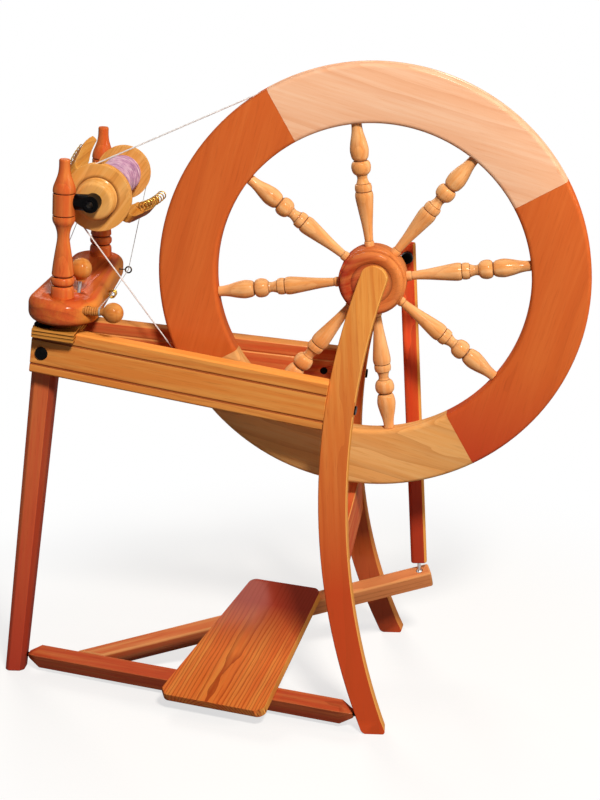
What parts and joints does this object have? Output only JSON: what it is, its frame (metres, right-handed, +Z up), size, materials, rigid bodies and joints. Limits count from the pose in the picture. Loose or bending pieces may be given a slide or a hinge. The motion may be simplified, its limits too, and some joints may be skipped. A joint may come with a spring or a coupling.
{
  "type": "single treadle spinning wheel",
  "caption": "Three-legged treadle spinning wheel: spoked drive wheel beside a sloping table, with a cord driven flyer and a braked bobbin at the other end.",
  "frame": {"origin": "floor point under the middle of the whole wheel's plan box", "axes": "+X along the table towards the drive wheel, +Y to the back, away from the spinner, +Z up"},
  "size_m": [0.8108, 0.3916, 0.849],
  "materials": {
    "frame_wood": "lacquered",
    "rim_wood": "lacquered",
    "turned_wood": "lacquered",
    "pale_wood": "lacquered",
    "steel": "satin",
    "black_steel": "satin",
    "black_plastic": "satin",
    "brass": "bright",
    "band_cord": "twisted cord",
    "nylon_line": "monofilament",
    "yarn": "spun wool"
  },
  "bodies": {
    "frame": {"front_rail": "frame_wood", "rear_rail": "frame_wood", "table_block": "frame_wood", "end_leg": "frame_wood", "front_wheel_leg": "frame_wood", "rear_wheel_leg": "frame_wood", "leg_stretcher": "frame_wood", "leg_bolt": "black_steel", "rail_bolts": "black_steel", "barrel_nuts": "black_steel", "front_axle_bush": "black_plastic", "rear_axle_bush": "black_plastic", "hinge_lower": "black_steel", "drive_band": "band_cord"},
    "wheel": {"rim_1": "rim_wood", "rim_2": "rim_wood", "rim_3": "rim_wood", "rim_4": "rim_wood", "spoke_1": "turned_wood", "spoke_2": "turned_wood", "spoke_3": "turned_wood", "spoke_4": "turned_wood", "spoke_5": "turned_wood", "spoke_6": "turned_wood", "spoke_7": "turned_wood", "spoke_8": "turned_wood", "hub": "turned_wood", "axle_crank": "steel"},
    "mother_of_all": {"maiden_bar": "frame_wood", "front_maiden": "turned_wood", "rear_maiden": "turned_wood", "front_bearing": "black_plastic", "rear_bearing": "black_plastic", "hinge_upper": "black_steel", "screw_eye": "steel", "line_eye": "brass", "spring_hook": "steel", "brake_spring": "steel", "brake_line": "nylon_line"},
    "tension_screw": {"tension_rod": "steel", "tension_knob": "turned_wood"},
    "brake_peg": {"brake_peg": "turned_wood"},
    "flyer": {"flyer_yoke": "pale_wood", "flyer_spindle": "steel", "flyer_whorl": "pale_wood", "upper_hooks": "brass", "lower_hooks": "brass"},
    "bobbin": {"bobbin_barrel": "pale_wood", "bobbin_front_end": "pale_wood", "bobbin_rear_end": "pale_wood", "yarn_core": "yarn", "yarn_winding": "yarn"},
    "treadle": {"treadle_rail": "frame_wood", "treadle_arm": "frame_wood", "treadle_board": "frame_wood", "treadle_pins": "steel"},
    "con_rod": {"con_rod": "frame_wood", "rod_bush": "black_plastic", "rod_link": "steel"}
  },
  "joints": [
    {"name": "wheel_spin", "type": "hinge", "parent": "frame", "child": "wheel", "pos_m": [0.12544, -0.0282, 0.569], "axis": [0, 1, 0], "continuous": true},
    {"name": "tension_turn", "type": "hinge", "parent": "frame", "child": "tension_screw", "pos_m": [-0.26376, -0.0362, 0.5459], "axis": [0.1521, 0, 0.9884], "range_deg": [-720, 240]},
    {"name": "moa_tilt", "type": "hinge", "parent": "frame", "child": "mother_of_all", "pos_m": [-0.31236, -0.0282, 0.51938], "axis": [0, -1, 0], "range_deg": [-3, 1], "deforming": ["drive_band"]},
    {"name": "brake_peg_turn", "type": "hinge", "parent": "mother_of_all", "child": "brake_peg", "pos_m": [-0.22919, -0.0832, 0.5381], "axis": [0.9964, 0, -0.0845], "range_deg": [-180, 180]},
    {"name": "flyer_spin", "type": "hinge", "parent": "mother_of_all", "child": "flyer", "pos_m": [-0.23142, 0.0318, 0.67752], "axis": [0, 1, 0], "continuous": true},
    {"name": "bobbin_spin", "type": "hinge", "parent": "flyer", "child": "bobbin", "pos_m": [-0.23142, 0.0718, 0.67752], "axis": [0, 1, 0], "continuous": true},
    {"name": "treadle_rock", "type": "hinge", "parent": "frame", "child": "treadle", "pos_m": [-0.37404, -0.0282, 0.021], "axis": [0.9529, -0.3034, 0], "range_deg": [-11, 6.5]},
    {"name": "con_rod_swing", "type": "hinge", "parent": "treadle", "child": "con_rod", "pos_m": [0.17538, 0.05943, 0.12163], "axis": [0.9529, -0.3034, 0], "range_deg": [-8, 14]}
  ],
  "couplings": [
    {"joint": "flyer_spin", "follows": "wheel_spin", "ratio": 6.8708},
    {"joint": "tension_turn", "follows": "moa_tilt", "ratio": 240},
    {"joint": "con_rod_swing", "follows": "treadle_rock", "ratio": -1.198}
  ]
}
